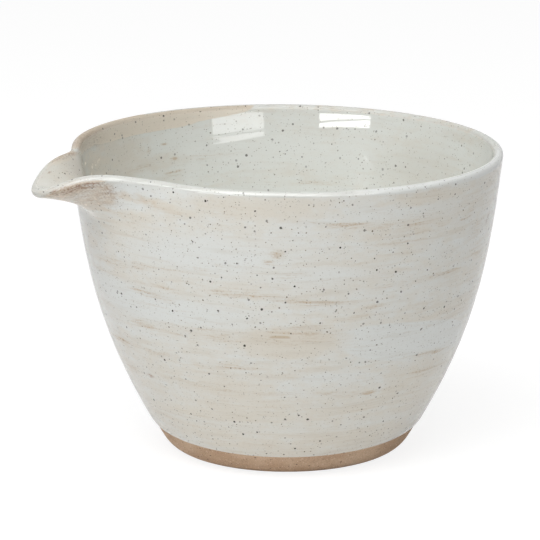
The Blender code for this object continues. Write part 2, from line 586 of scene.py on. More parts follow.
class NodeSketch:
    """Writes the nodes of one material or world, with a method for each kind of node that is used.

    Attributes:
        owner: The material or world.
        tree: Its nodes.
    """

    def __init__(self, owner: bpy.types.Material | bpy.types.World) -> None:
        """Starts the nodes.

        Args:
            owner: The new material or world.
        """
        owner.use_nodes = True
        self.owner = owner
        self.tree = owner.node_tree

    @property
    def shader(self) -> bpy.types.Node:
        """The plain shader that a new material starts with."""
        return self.tree.nodes["Principled BSDF"]

    def add(self, kind: str, **settings: object) -> bpy.types.Node:
        """Adds a node.

        Args:
            kind: Blender's name of the kind of node.
            **settings: Properties to set on it.

        Returns:
            The new node.
        """
        node = self.tree.nodes.new(kind)
        for name, value in settings.items():
            setattr(node, name, value)
        return node

    def feed(self, socket: Socket, value: object) -> None:
        """Links a socket to another, or sets its own value.

        Args:
            socket: The socket to feed.
            value: A socket, a number or a tuple.
        """
        if isinstance(value, Socket):
            self.tree.links.new(value, socket)
        else:
            socket.default_value = value

    def math(self, operation: str, *numbers: Level) -> Socket:
        """Works out a sum on numbers.

        Args:
            operation: Blender's name of the sum.
            *numbers: The numbers, in the order in which the sum takes them.

        Returns:
            The result's socket.
        """
        node = self.add("ShaderNodeMath", operation=operation)
        for socket, value in zip(node.inputs, numbers):
            self.feed(socket, value)
        return node.outputs[0]

    def times(self, first: Level, second: Level) -> Socket:
        """Multiplies two numbers."""
        return self.math("MULTIPLY", first, second)

    def times_plus(self, first: Level, second: Level, third: Level) -> Socket:
        """Multiplies two numbers and adds a third."""
        return self.math("MULTIPLY_ADD", first, second, third)

    def minus(self, first: Level, second: Level) -> Socket:
        """Takes the second number from the first."""
        return self.math("SUBTRACT", first, second)

    def larger(self, first: Level, second: Level) -> Socket:
        """Keeps the larger of two numbers."""
        return self.math("MAXIMUM", first, second)

    def without(self, share: Level) -> Socket:
        """Gives what a share leaves of the whole."""
        return self.minus(1.0, share)

    def between(self, share: Level, low: Level, high: Level) -> Socket:
        """Goes from one number to another by a share."""
        return self.times_plus(share, self.minus(high, low), low)

    def vector(self, operation: str, first: object, second: object) -> Socket:
        """Works out a sum on two vectors.

        Args:
            operation: Blender's name of the sum.
            first: First vector.
            second: Second vector.

        Returns:
            The result's socket.
        """
        node = self.add("ShaderNodeVectorMath", operation=operation)
        self.feed(node.inputs[0], first)
        self.feed(node.inputs[1], second)
        return node.outputs[0]

    def scaled(self, vector: Socket, factor: float) -> Socket:
        """Scales a vector.

        Args:
            vector: The vector.
            factor: What each of its numbers is multiplied by.

        Returns:
            The scaled vector's socket.
        """
        node = self.add("ShaderNodeVectorMath", operation="SCALE")
        self.feed(node.inputs["Vector"], vector)
        self.feed(node.inputs["Scale"], factor)
        return node.outputs[0]

    def place(self) -> Socket:
        """Reads the place in space, in millimetres."""
        return self.scaled(self.add("ShaderNodeTexCoord").outputs["Object"], PER_METRE)

    def parts(self, vector: Socket) -> list[Socket]:
        """Splits a vector.

        Args:
            vector: The vector.

        Returns:
            The sockets of its three numbers.
        """
        node = self.add("ShaderNodeSeparateXYZ")
        self.feed(node.inputs[0], vector)
        return list(node.outputs)

    def mark(self, name: str) -> Socket:
        """Reads a number that is marked on the mesh's points."""
        return self.add("ShaderNodeAttribute", attribute_name=name).outputs["Fac"]

    def ease(self, value: Level, ramp: Ramp) -> Socket:
        """Eases a value along a ramp.

        Args:
            value: The value to read.
            ramp: The ramp.

        Returns:
            The eased result's socket.
        """
        node = self.add("ShaderNodeMapRange", interpolation_type="SMOOTHSTEP")
        levels = (value, ramp.low, ramp.high, ramp.start, ramp.end)
        for name, level in zip(("Value", "From Min", "From Max", "To Min", "To Max"), levels):
            self.feed(node.inputs[name], level)
        return node.outputs["Result"]

    def cover(self, amount: Socket, bristle: Socket, brush: Brush) -> Socket:
        """Fills the marks of bristles by the amount that a brush lays.

        Args:
            amount: Amount laid, from 0 to 1.
            bristle: Noise that the bristles leave.
            brush: The brush.

        Returns:
            The share of the wall that is covered.
        """
        shaken = self.times_plus(bristle, brush.spread, self.minus(amount, brush.spread / 2))
        return self.ease(shaken, Ramp(MIDDLE - brush.edge, MIDDLE + brush.edge))

    def blend(self, share: Level, low: str | Socket, high: str | Socket) -> Socket:
        """Mixes two colours.

        Args:
            share: Share of the second colour.
            low: First colour, as six hexadecimal digits or a socket.
            high: Second colour, likewise.

        Returns:
            The mixed colour's socket.
        """
        node = self.add("ShaderNodeMix", data_type="RGBA")
        sockets = {socket.identifier: socket for socket in node.inputs}
        self.feed(sockets["Factor_Float"], share)
        for name, colour in (("A_Color", low), ("B_Color", high)):
            self.feed(sockets[name], linear(colour) if isinstance(colour, str) else colour)
        return next(socket for socket in node.outputs if socket.identifier == "Result_Color")

    def noise(self, place: Socket, grain: Grain) -> Socket:
        """Reads noise at a place that is already scaled.

        Args:
            place: Place, in grains.
            grain: The noise's layers.

        Returns:
            The noise's socket.
        """
        node = self.add("ShaderNodeTexNoise")
        settings = (place, 1.0, grain.detail, grain.roughness)
        for name, value in zip(("Vector", "Scale", "Detail", "Roughness"), settings):
            self.feed(node.inputs[name], value)
        return node.outputs["Fac"]

    def clouds(self, place: Socket, grain: Grain) -> Socket:
        """Reads noise that stands in space, at a place in millimetres."""
        return self.noise(self.vector("MULTIPLY", place, (grain.around, grain.around, grain.up)), grain)

    def specks(self, place: Socket, size: SpeckSize, strength: float = 1.0) -> tuple[Socket, Socket]:
        """Scatters round specks of one size.

        Args:
            place: Place in millimetres.
            size: Their size.
            strength: Strength of them all.

        Returns:
            How strongly a speck shows at the place, and its bare shape.
        """
        node = self.add("ShaderNodeTexVoronoi")
        self.feed(node.inputs["Vector"], self.scaled(place, 1.0 / size.spacing))
        self.feed(node.inputs["Scale"], 1.0)
        random_size, chance, _ = self.parts(node.outputs["Color"])
        low, high = size.smallest / size.spacing, size.largest / size.spacing
        edge = self.times_plus(random_size, high - low, low)
        shape = self.ease(self.math("DIVIDE", node.outputs["Distance"], edge), SPECK_EDGE)
        strengths = Ramp(size.faint_share, 1.0, strength * size.faintest, strength * size.strongest)
        return self.times(shape, self.ease(chance, strengths)), shape

    def bump(self, height: Socket, depth: float, strength: float) -> Socket:
        """Makes a bumped normal.

        Args:
            height: Height of the surface, from 0 to 1.
            depth: What a height of 1 measures, in metres.
            strength: Share of the bump.

        Returns:
            The normal's socket.
        """
        node = self.add("ShaderNodeBump")
        for name, value in (("Distance", depth), ("Strength", strength), ("Height", height)):
            self.feed(node.inputs[name], value)
        return node.outputs["Normal"]


@dataclass(frozen=True)
class StonewareFinish:
    """Bare fired stoneware: brown, matt and gritty.

    Attributes:
        slot: The record's slot, which also names the material.
        body: Colour of the clay.
        pale: Its colour where it fired paler.
        iron: Colour of the iron in it.
        sand: Pale sand in it.
        grit: Dark grit in it, which leaves pits.
        cloud: Noise of the fire's marks.
        tooth: Noise of the clay's tooth.
        fired: How the fire's marks bring out the paler colour.
        stained: How the tooth brings out the iron.
        roughness: Roughness of the surface.
        specular: Level of its faint gloss.
        relief: Depth of the tooth, in metres.
        relief_share: Share of that depth that shows.
        pitting: Depth of a pit, as a share of the tooth.
    """

    slot: Slot = Slot.CLAY
    body: str = "BA9C81"
    pale: str = "CBB096"
    iron: str = "6E5844"
    sand: SpeckSize = SpeckSize(1.3, 0.15, 0.4, 0.6, 0.6, "DEC9B3")
    grit: SpeckSize = SpeckSize(1.9, 0.2, 0.5, 0.2, 0.9, "4A3A2D", 0.2)
    cloud: Grain = Grain(0.05, 0.12, 3.0)
    tooth: Grain = Grain(1.6, 1.6, 3.0, 0.65)
    fired: Ramp = Ramp(0.35, 0.65)
    stained: Ramp = Ramp(0.45, 0.8, 0.0, 0.55)
    roughness: float = 0.86
    specular: float = 0.3
    relief: float = 0.0003
    relief_share: float = 0.5
    pitting: float = 0.4

    def material(self) -> bpy.types.Material:
        """Makes the bare clay's material.

        Returns:
            The material.
        """
        sketch = NodeSketch(bpy.data.materials.new(self.slot.value))
        place = sketch.place()
        tooth = sketch.clouds(place, self.tooth)
        sand, _ = sketch.specks(place, self.sand)
        grit, pits = sketch.specks(place, self.grit)
        colour = sketch.blend(sketch.ease(sketch.clouds(place, self.cloud), self.fired), self.body, self.pale)
        colour = sketch.blend(sketch.ease(tooth, self.stained), colour, self.iron)
        colour = sketch.blend(sand, colour, self.sand.colour)
        colour = sketch.blend(grit, colour, self.grit.colour)
        height = sketch.minus(tooth, sketch.times(pits, self.pitting))
        shader = sketch.shader
        sketch.feed(shader.inputs["Base Color"], colour)
        sketch.feed(shader.inputs["Roughness"], self.roughness)
        sketch.feed(shader.inputs["Specular IOR Level"], self.specular)
        sketch.feed(shader.inputs["Normal"], sketch.bump(height, self.relief, self.relief_share))
        return sketch.owner


# Noise in the glaze, from the slow sway of a brushed line to the sand in the clay
SWAY = Grain(0.018, 0.03, 1.0)
WIGGLE = Grain(0.10, 0.24)
BANDS = Grain(0.011, 0.050, 3.0, 0.55)
BRISTLES = Grain(0.032, 0.42, 3.0, 0.6)
LINES = Grain(0.016, 0.56)
SCRATCHES = Grain(0.070, 0.70, 2.0, 0.6)
MOTTLE = Grain(0.16, 0.30, 3.0, 0.6)
SAND = Grain(0.95, 1.2, 2.0, 0.6)


class BrushField:
    """Places on a glazed wall, and noise that is drawn out around the bowl as a brush draws slip.

    Attributes:
        sketch: The material's nodes.
        place: Place in space, in millimetres.
        across: The place's first number.
        deep: The place's second number.
        height: Thrown height above the table, in millimetres.
        along: Way along the coat from where it starts, in millimetres.
        rise: The same way, wandering as a brushed line does.
    """

    def __init__(self, sketch: NodeSketch, sway: float, wiggle: float) -> None:
        """Reads the wall's places.

        Args:
            sketch: The material's nodes.
            sway: How far a brushed line wanders over its whole length, in millimetres.
            wiggle: How far it wanders within a thumb's breadth, in millimetres.
        """
        self.sketch = sketch
        self.place = sketch.place()
        self.across, self.deep, _ = sketch.parts(self.place)
        self.height = sketch.mark(THROWN_HEIGHT)
        self.along = sketch.mark(ALONG_WALL)
        wander = sketch.times_plus(self.still(SWAY), 2 * sway, -sway - wiggle)
        wander = sketch.times_plus(self.still(WIGGLE), 2 * wiggle, wander)
        self.rise = sketch.math("ADD", self.along, wander)

    def laid(self, kind: StrokeKind) -> Socket:
        """Reads how much the strokes of one kind lay, from 0 to 1."""
        return self.sketch.mark(kind.name)

    def still(self, grain: Grain) -> Socket:
        """Reads noise that doesn't follow the brush."""
        return self.sketch.clouds(self.place, grain)

    def drawn(self, grain: Grain) -> Socket:
        """Reads noise that follows the brush.

        Args:
            grain: The noise.

        Returns:
            The noise's socket.
        """
        node = self.sketch.add("ShaderNodeCombineXYZ")
        ways = ((self.across, grain.around), (self.deep, grain.around), (self.rise, grain.up))
        for socket, (way, grains) in zip(node.inputs, ways):
            self.sketch.feed(socket, self.sketch.times(way, grains))
        return self.sketch.noise(node.outputs[0], grain)

    def hairlines(self, grain: Grain, breadth: float) -> Socket:
        """Draws thin lines along the middle level of noise that follows the brush.

        Args:
            grain: The noise.
            breadth: How far from the middle level a line fades out.

        Returns:
            The share of line at each place.
        """
        off = self.sketch.math("ABSOLUTE", self.sketch.minus(self.drawn(grain), MIDDLE))
        return self.sketch.ease(off, Ramp(breadth, breadth / LINE_SHARPNESS))


@dataclass(frozen=True)
class GlazeFinish:
    """Clear gloss over brushed white slip, with the beige ground and iron specks showing through.

    Attributes:
        slot: The record's slot, which also names the material.
        slip: Colour of the white slip.
        ground: Colour of the ground under it.
        wash: Colour of a wash on the wall.
        lip_wash_and_shade: Colour of a wash on the lip's crest, darker than the wall's wash as painted shade
            where the crest catches light.
        inner_wash_and_light: Colour of a wash on the lip's inner half, lighter than the wall's wash as
            painted light where that half turns into the bowl's shade.
        tan: Colour of dragged lines.
        rust: Colour of the iron wash.
        lip: Colour of the lip, greyer than the slip as painted shade that keeps its lit top from turning too
            white.
        shade: Colour of the painted shade, and of the sand that shows through.
        ground_level: How much of the ground shows between strokes, from 0 to 1.
        ground_weights: Weights of bands, bristles and mottle in where the ground shows.
        ground_edge: Weighed level at which the ground shows where its level is 0.
        ground_range: How far a ground level of 1 lowers that edge.
        ground_fade: Half the step over which that edge fades.
        warm_below: Height in millimetres under which the ground shows more.
        warm_fade: Height in millimetres over which that comes in.
        warmth: How much more it shows.
        lip_from: Height in millimetres at which the lip starts.
        lip_band: Heights above that between which the lip's colour comes in.
        inner_band: The same for the lip's inner half.
        crest_band: The same for the lip's crest.
        lip_turning: Way over which the lip turns outward, in millimetres.
        slip_brush: Brush of the slip.
        ground_brush: Brush that wears the slip thin.
        wash_brush: Brush of the wash.
        dab_brush: Brush of a strong tan stroke.
        wash_strength: Share of the wall's colour that a full wash takes over.
        painted_shade_strength: The same for full painted shade.
        tan_strength: The same for a full line of tan.
        tan_film: The same for the film between the lines.
        stray_strength: The same for the faint lines that run all over the wall.
        stray_bands: Levels of the bands between which those come in.
        hatching: Strength of the scratches across a tan stroke.
        line_breadth: Breadth of a line in the noise that draws it.
        scratch_breadth: The same for a scratch.
        broken: How the bristles break a line.
        sanded: How the sand breaks a line.
        dabbed: How strong a tan stroke is before it leaves a dab.
        rust_scratches: Strength of the scratches in the iron wash.
        rust_sand: How the sand shows in the iron wash.
        sandiness: How much the fine sand in the clay darkens the wall.
        combed: Levels of the bristles between which the sand shows.
        gritty: Levels of the sand between which it shows.
        speck_strength: Strength of the iron specks.
        ragged_scale: Grains to a millimetre of the noise that makes the specks ragged.
        ragged_detail: Number of its finer layers.
        raggedness: How far it shakes them, in millimetres.
        sway: How far a brushed line wanders over its whole length, in millimetres.
        wiggle: How far it wanders within a thumb's breadth, in millimetres.
        roughness: Roughness of the gloss.
        dryness: How much rougher wash and rust are.
        lip_dryness: How much rougher the lip's inner half is.
        pit_dryness: How much rougher a speck is.
        pit_depth: Depth of a speck, as a share of the relief.
        dry_tooth: Height of the sand in wash and rust, as a share of the relief.
        relief: Depth of the relief, in metres.
        relief_share: Share of that depth that shows.
        refraction: Index of refraction of the gloss.
    """

    slot: Slot
    slip: str = "D6D8D5"
    ground: str = "D3CEC3"
    wash: str = "CABDAB"
    # Tan wash on the crest, darkened as painted shade
    lip_wash_and_shade: str = "BDB09E"
    # Tan wash on the lip's inner half, lightened as painted light
    inner_wash_and_light: str = "DAD0C0"
    tan: str = "B39A78"
    rust: str = "8E6F58"
    # Painted shade on the lip's lit top
    lip: str = "C7C8C3"
    shade: str = "A79C8A"
    ground_level: float = 0.5
    ground_weights: tuple[float, float, float] = (0.45, 0.24, 0.31)
    ground_edge: float = 0.62
    ground_range: float = 0.24
    ground_fade: float = 0.16
    warm_below: float = 62.0
    warm_fade: float = 30.0
    warmth: float = 0.06
    lip_from: float = 138.9
    lip_band: tuple[float, float] = (0.0, 0.7)
    inner_band: tuple[float, float] = (0.3, 1.6)
    crest_band: tuple[float, float] = (1.0, 2.2)
    lip_turning: float = 1.2
    slip_brush: Brush = Brush(0.8, 0.45)
    ground_brush: Brush = Brush(1.0, 0.5)
    wash_brush: Brush = Brush(0.9, 0.3)
    dab_brush: Brush = Brush(0.9, 0.16)
    wash_strength: float = 0.9
    painted_shade_strength: float = 0.6
    tan_strength: float = 1.05
    tan_film: float = 0.13
    stray_strength: float = 0.20
    stray_bands: tuple[float, float] = (0.42, 0.60)
    hatching: float = 0.8
    line_breadth: float = 0.050
    scratch_breadth: float = 0.060
    broken: Ramp = Ramp(0.38, 0.58)
    sanded: Ramp = Ramp(0.40, 0.62, 0.30, 1.0)
    dabbed: Ramp = Ramp(0.70, 0.85, 0.0, 0.6)
    rust_scratches: float = 0.5
    rust_sand: Ramp = Ramp(0.38, 0.66, 0.05, 0.75)
    sandiness: float = 0.13
    combed: tuple[float, float] = (0.50, 0.72)
    gritty: tuple[float, float] = (0.48, 0.80)
    speck_strength: float = 1.0
    ragged_scale: float = 1.1
    ragged_detail: float = 1.0
    raggedness: float = 0.5
    sway: float = 2.2
    wiggle: float = 1.1
    roughness: float = 0.03
    dryness: float = 0.30
    lip_dryness: float = 0.45
    pit_dryness: float = 0.12
    pit_depth: float = 0.25
    dry_tooth: float = 0.3
    relief: float = 0.00010
    relief_share: float = 0.5
    refraction: float = 1.52

    def material(self) -> bpy.types.Material:
        """Makes the glaze's material.

        Returns:
            The material.
        """
        layers = GlazeLayers(self)
        layers.lay_slip()
        layers.lay_lip()
        layers.lay_wash()
        layers.lay_painted_shade()
        layers.drag_tan()
        layers.scratch_rust()
        layers.show_sand()
        layers.scatter_specks()
        layers.gloss()
        return layers.sketch.owner


class GlazeLayers:
    """The layers of a glaze, laid in the order in which they lie on the wall.

    Attributes:
        finish: The glaze's values.
        sketch: The material's nodes.
        field: Places on the wall.
        bands: Noise of the broad bands that a brush leaves.
        bristles: Noise of its bristles.
        scratches: Thin scratches along the brush.
        mottle: Noise of the glaze's uneven depth.
        sand: Noise of the sand in the clay.
        slip: Share of thick slip.
        washed: Share of the tan wash.
        rusty: Share of the iron wash.
        at_lip: Share of the lip.
        below_lip: Share of the rest of the wall.
        inner_crest: Share of the lip, as it comes in on the inner half.
        outward: How far the lip has turned outward.
        colour: Colour of the layers so far.
        pits: Share of iron speck.
    """

    def __init__(self, finish: GlazeFinish) -> None:
        """Starts the material, and works out what several layers share.

        Args:
            finish: The glaze's values.
        """
        self.finish = finish
        self.sketch = sketch = NodeSketch(bpy.data.materials.new(finish.slot.value))
        self.field = field = BrushField(sketch, finish.sway, finish.wiggle)
        self.bands = field.drawn(BANDS)
        self.bristles = field.drawn(BRISTLES)
        self.scratches = field.hairlines(SCRATCHES, finish.scratch_breadth)
        self.mottle = field.still(MOTTLE)
        self.sand = field.still(SAND)
        self.slip = sketch.cover(field.laid(StrokeKind.SLIP), self.mottle, finish.slip_brush)
        self.washed = sketch.cover(field.laid(StrokeKind.WASH), self.mottle, finish.wash_brush)
        scratched = sketch.times_plus(
            self.scratches, finish.rust_scratches, sketch.ease(self.sand, finish.rust_sand)
        )
        self.rusty = sketch.times(field.laid(StrokeKind.RUST), scratched)
        self.at_lip = self.above_lip(finish.lip_band)
        self.below_lip = sketch.without(self.at_lip)
        self.inner_crest = self.above_lip(finish.inner_band)
        self.outward = sketch.ease(field.along, Ramp(LIP_TURNS, LIP_TURNS + finish.lip_turning))
        self.colour: str | Socket = finish.slip
        self.pits: Level = 0.0

    def above_lip(self, band: tuple[float, float]) -> Socket:
        """Eases in over a band of heights above the start of the lip."""
        low, high = (self.finish.lip_from + height for height in band)
        return self.sketch.ease(self.field.height, Ramp(low, high))

    def lay_slip(self) -> None:
        """Lets the beige ground through the slip, in bands and where strokes have worn it thin."""
        finish, sketch, field = self.finish, self.sketch, self.field
        bands, bristles, mottle = finish.ground_weights
        level = sketch.times_plus(self.bristles, bristles, sketch.times(self.bands, bands))
        level = sketch.times_plus(self.mottle, mottle, level)
        warm = Ramp(finish.warm_below, finish.warm_below - finish.warm_fade, end=finish.warmth)
        level = sketch.math("ADD", level, sketch.ease(field.height, warm))
        edge = finish.ground_edge - finish.ground_range * finish.ground_level
        bare = sketch.ease(level, Ramp(edge - finish.ground_fade, edge + finish.ground_fade))
        bare = sketch.times(bare, sketch.without(self.slip))
        worn = sketch.cover(field.laid(StrokeKind.GROUND), self.mottle, finish.ground_brush)
        self.colour = sketch.blend(sketch.larger(bare, worn), self.colour, finish.ground)

    def lay_lip(self) -> None:
        """Greys the lip as painted shade, so that its lit top is not too white, except under thick slip."""
        lip = self.sketch.between(self.outward, self.inner_crest, self.at_lip)
        lip = self.sketch.times(lip, self.sketch.without(self.slip))
        self.colour = self.sketch.blend(lip, self.colour, self.finish.lip)

    def lay_wash(self) -> None:
        """Washes tan over the slip: darker on the lip's crest as painted shade, and lighter on its inner half
        as painted light.
        """
        finish, sketch = self.finish, self.sketch
        crest = sketch.between(self.outward, self.inner_crest, self.above_lip(finish.crest_band))
        tint = sketch.blend(self.outward, finish.inner_wash_and_light, finish.wash)
        tint = sketch.blend(crest, tint, finish.lip_wash_and_shade)
        self.colour = sketch.blend(sketch.times(self.washed, finish.wash_strength), self.colour, tint)

    def lay_painted_shade(self) -> None:
        """Lays the painted shade, in thin veils of grey beige."""
        shade_veil = self.sketch.times(self.field.laid(StrokeKind.PAINTED_SHADE), self.finish.painted_shade_strength)
        self.colour = self.sketch.blend(shade_veil, self.colour, self.finish.shade)

    def drag_tan(self) -> None:
        """Drags tan in fine broken lines over a thin film, with a dab where a stroke is strong."""
        finish, sketch, field = self.finish, self.sketch, self.field
        laid = field.laid(StrokeKind.TAN)
        stray = sketch.ease(self.bands, Ramp(*finish.stray_bands, end=finish.stray_strength))
        reach = sketch.times_plus(laid, finish.tan_strength, stray)
        hatched = sketch.times(sketch.times(self.scratches, laid), finish.hatching)
        fine = sketch.larger(field.hairlines(LINES, finish.line_breadth), hatched)
        fine = sketch.times(fine, sketch.ease(self.bristles, finish.broken))
        fine = sketch.times(fine, sketch.ease(self.sand, finish.sanded))
        drag = sketch.times_plus(laid, finish.tan_film, sketch.times(fine, reach))
        dab = sketch.cover(laid, self.sand, finish.dab_brush)
        drag = sketch.larger(drag, sketch.times(dab, sketch.ease(laid, finish.dabbed)))
        self.colour = sketch.blend(sketch.times(drag, self.below_lip), self.colour, finish.tan)

    def scratch_rust(self) -> None:
        """Lays the scratched iron wash."""
        self.colour = self.sketch.blend(self.rusty, self.colour, self.finish.rust)

    def show_sand(self) -> None:
        """Lets the fine sand in the clay show below the lip."""
        finish, sketch = self.finish, self.sketch
        combed = sketch.ease(self.bristles, Ramp(*finish.combed, end=finish.sandiness))
        gritty = sketch.ease(self.sand, Ramp(*finish.gritty, end=finish.sandiness))
        share = sketch.times(sketch.larger(gritty, combed), self.below_lip)
        self.colour = sketch.blend(share, self.colour, finish.shade)

    def scatter_specks(self) -> None:
        """Scatters ragged iron specks of every size."""
        finish, sketch = self.finish, self.sketch
        ragged = sketch.add("ShaderNodeTexNoise")
        settings = (self.field.place, finish.ragged_scale, finish.ragged_detail)
        for name, value in zip(("Vector", "Scale", "Detail"), settings):
            sketch.feed(ragged.inputs[name], value)
        shaken = sketch.scaled(ragged.outputs["Color"], finish.raggedness)
        place = sketch.vector("ADD", self.field.place, shaken)
        for size in SPECK_SIZES:
            share, _ = sketch.specks(place, size, finish.speck_strength)
            self.colour = sketch.blend(share, self.colour, size.colour)
            self.pits = sketch.larger(self.pits, share)

    def gloss(self) -> None:
        """Closes the layers with clear gloss, drier on wash, rust and the lip's inner half."""
        finish, sketch, shader = self.finish, self.sketch, self.sketch.shader
        dry = sketch.larger(self.washed, self.rusty)
        inner_lip = sketch.times(self.at_lip, sketch.without(self.outward))
        rough = sketch.times_plus(dry, finish.dryness, finish.roughness)
        rough = sketch.times_plus(inner_lip, finish.lip_dryness, rough)
        rough = sketch.times_plus(self.pits, finish.pit_dryness, rough)
        tooth = sketch.times(sketch.times(self.sand, dry), finish.dry_tooth)
        height = sketch.times_plus(self.pits, -finish.pit_depth, tooth)
        sketch.feed(shader.inputs["Base Color"], self.colour)
        sketch.feed(shader.inputs["Roughness"], rough)
        sketch.feed(shader.inputs["IOR"], finish.refraction)
        sketch.feed(shader.inputs["Normal"], sketch.bump(height, finish.relief, finish.relief_share))


def stroke_list(kind: StrokeKind, *rows: tuple[float, ...]) -> Strokes:
    """Makes strokes of one kind.

    Args:
        kind: What the strokes leave.
        *rows: Turn, height, reach and breadth of each stroke, then its strength, tilt, softness and bluntness
            where it has them.

    Returns:
        The strokes.
    """
    return tuple(Stroke(kind, *row) for row in rows)


# How often strokes of each kind wander over the parts of the wall where their layout is free
WANDERING_KINDS = {StrokeKind.SLIP: 2, StrokeKind.GROUND: 2, StrokeKind.TAN: 5}
# Greatest height of such a stroke, in millimetres, and its greatest tilt, in millimetres for each degree
WANDERING_TOP = 132.0
WANDERING_TILT = 0.08
# Least and most reach, breadth and strength of such strokes: of slip and ground, and of tan
BROAD_STROKE = ((12.0, 28.0), (3.0, 9.0), (0.5, 0.9))
THIN_STROKE = ((3.0, 17.0), (0.9, 2.6), (0.35, 0.75))


def wandering_strokes(seed: int, count: int, turns: tuple[float, float], low: float) -> Strokes:
    """Scatters strokes over a stretch of wall where their layout is free.

    Args:
        seed: Seed of the random draws.
        count: Number of strokes.
        turns: First and last turn, in degrees.
        low: Lowest height, in millimetres.

    Returns:
        The strokes.
    """
    draw = random.Random(seed)
    strokes = []
    for _ in range(count):
        kind = draw.choices(tuple(WANDERING_KINDS), weights=tuple(WANDERING_KINDS.values()))[0]
        turn, height = draw.uniform(*turns), draw.uniform(low, WANDERING_TOP)
        tilt = draw.uniform(-WANDERING_TILT, WANDERING_TILT)
        sizes = THIN_STROKE if kind is StrokeKind.TAN else BROAD_STROKE
        reach, breadth, strength = (draw.uniform(*limits) for limits in sizes)
        strokes.append(Stroke(kind, turn, height, reach, breadth, strength, tilt))
    return tuple(strokes)


